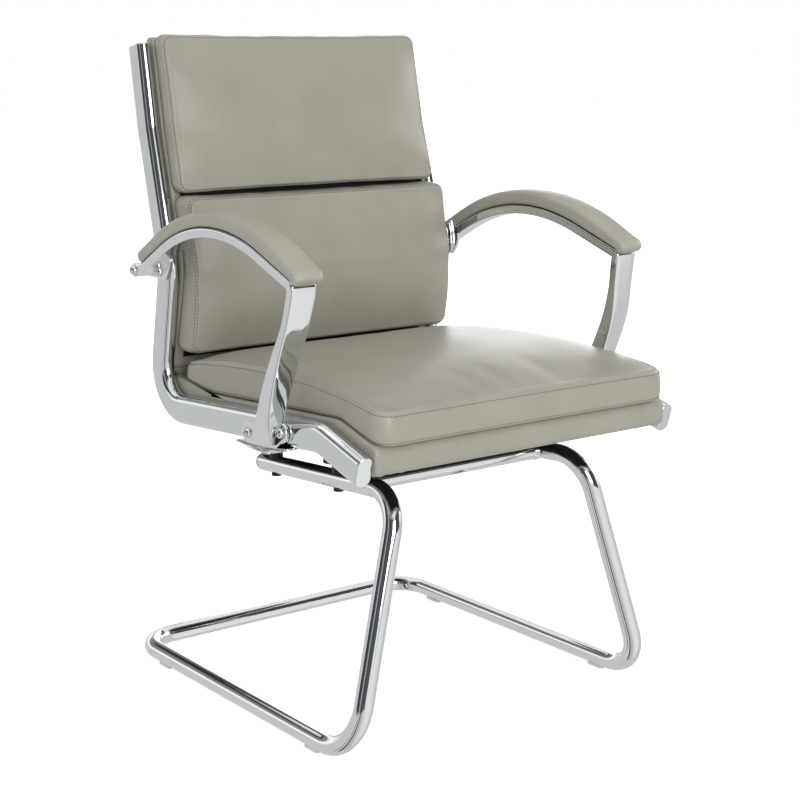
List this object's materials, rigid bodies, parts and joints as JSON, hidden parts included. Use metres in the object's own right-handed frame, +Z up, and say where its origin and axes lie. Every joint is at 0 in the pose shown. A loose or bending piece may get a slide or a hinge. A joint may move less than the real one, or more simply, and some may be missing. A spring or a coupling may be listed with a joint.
{
  "type": "cantilever visitor chair",
  "caption": "Visitor chair with a padded high seat and split back between chromed rails, bow armrests with soft pads and a bent-tube cantilever sled base.",
  "frame": {"origin": "On the floor, in the middle of the chair's footprint.", "axes": "+Z is up. The front of the chair faces -Y and the sitter's right hand is towards -X. Nodes named right and left are the sitter's."},
  "size_m": [0.5746, 0.595, 0.887],
  "materials": {
    "chrome": "bright polished plating",
    "upholstery": "taupe coated leather with a low sheen and fine grain",
    "black_fabric": "thin matt black lining cloth",
    "black_steel": "satin black powder coat",
    "black_plastic": "moulded matt black"
  },
  "bodies": {
    "root": {"arm_frame_left": "chrome", "arm_frame_right": "chrome", "arm_front_bolts_left": "chrome", "arm_front_bolts_right": "chrome", "arm_pad_board_left": "black_steel", "arm_pad_board_right": "black_steel", "arm_pad_left": "upholstery", "arm_pad_right": "upholstery", "arm_rear_bolts_left": "chrome", "arm_rear_bolts_right": "chrome", "back_crossrod": "chrome", "back_lining": "black_fabric", "back_shell": "upholstery", "floor_glides": "black_plastic", "lower_back_cushion": "upholstery", "rail_front_cap_left": "chrome", "rail_front_cap_right": "chrome", "rail_top_cap_left": "chrome", "rail_top_cap_right": "chrome", "seat_crossbar_front": "black_steel", "seat_crossbar_rear": "black_steel", "seat_cushion": "upholstery", "seat_dust_cover": "black_fabric", "seat_shell": "upholstery", "side_rail_left": "chrome", "side_rail_right": "chrome", "sled_bolts": "black_steel", "sled_crosstube": "chrome", "sled_end_cap_left": "black_plastic", "sled_end_cap_right": "black_plastic", "sled_frame": "chrome", "sled_spacers": "black_plastic", "upper_back_cushion": "upholstery"}
  },
  "joints": []
}
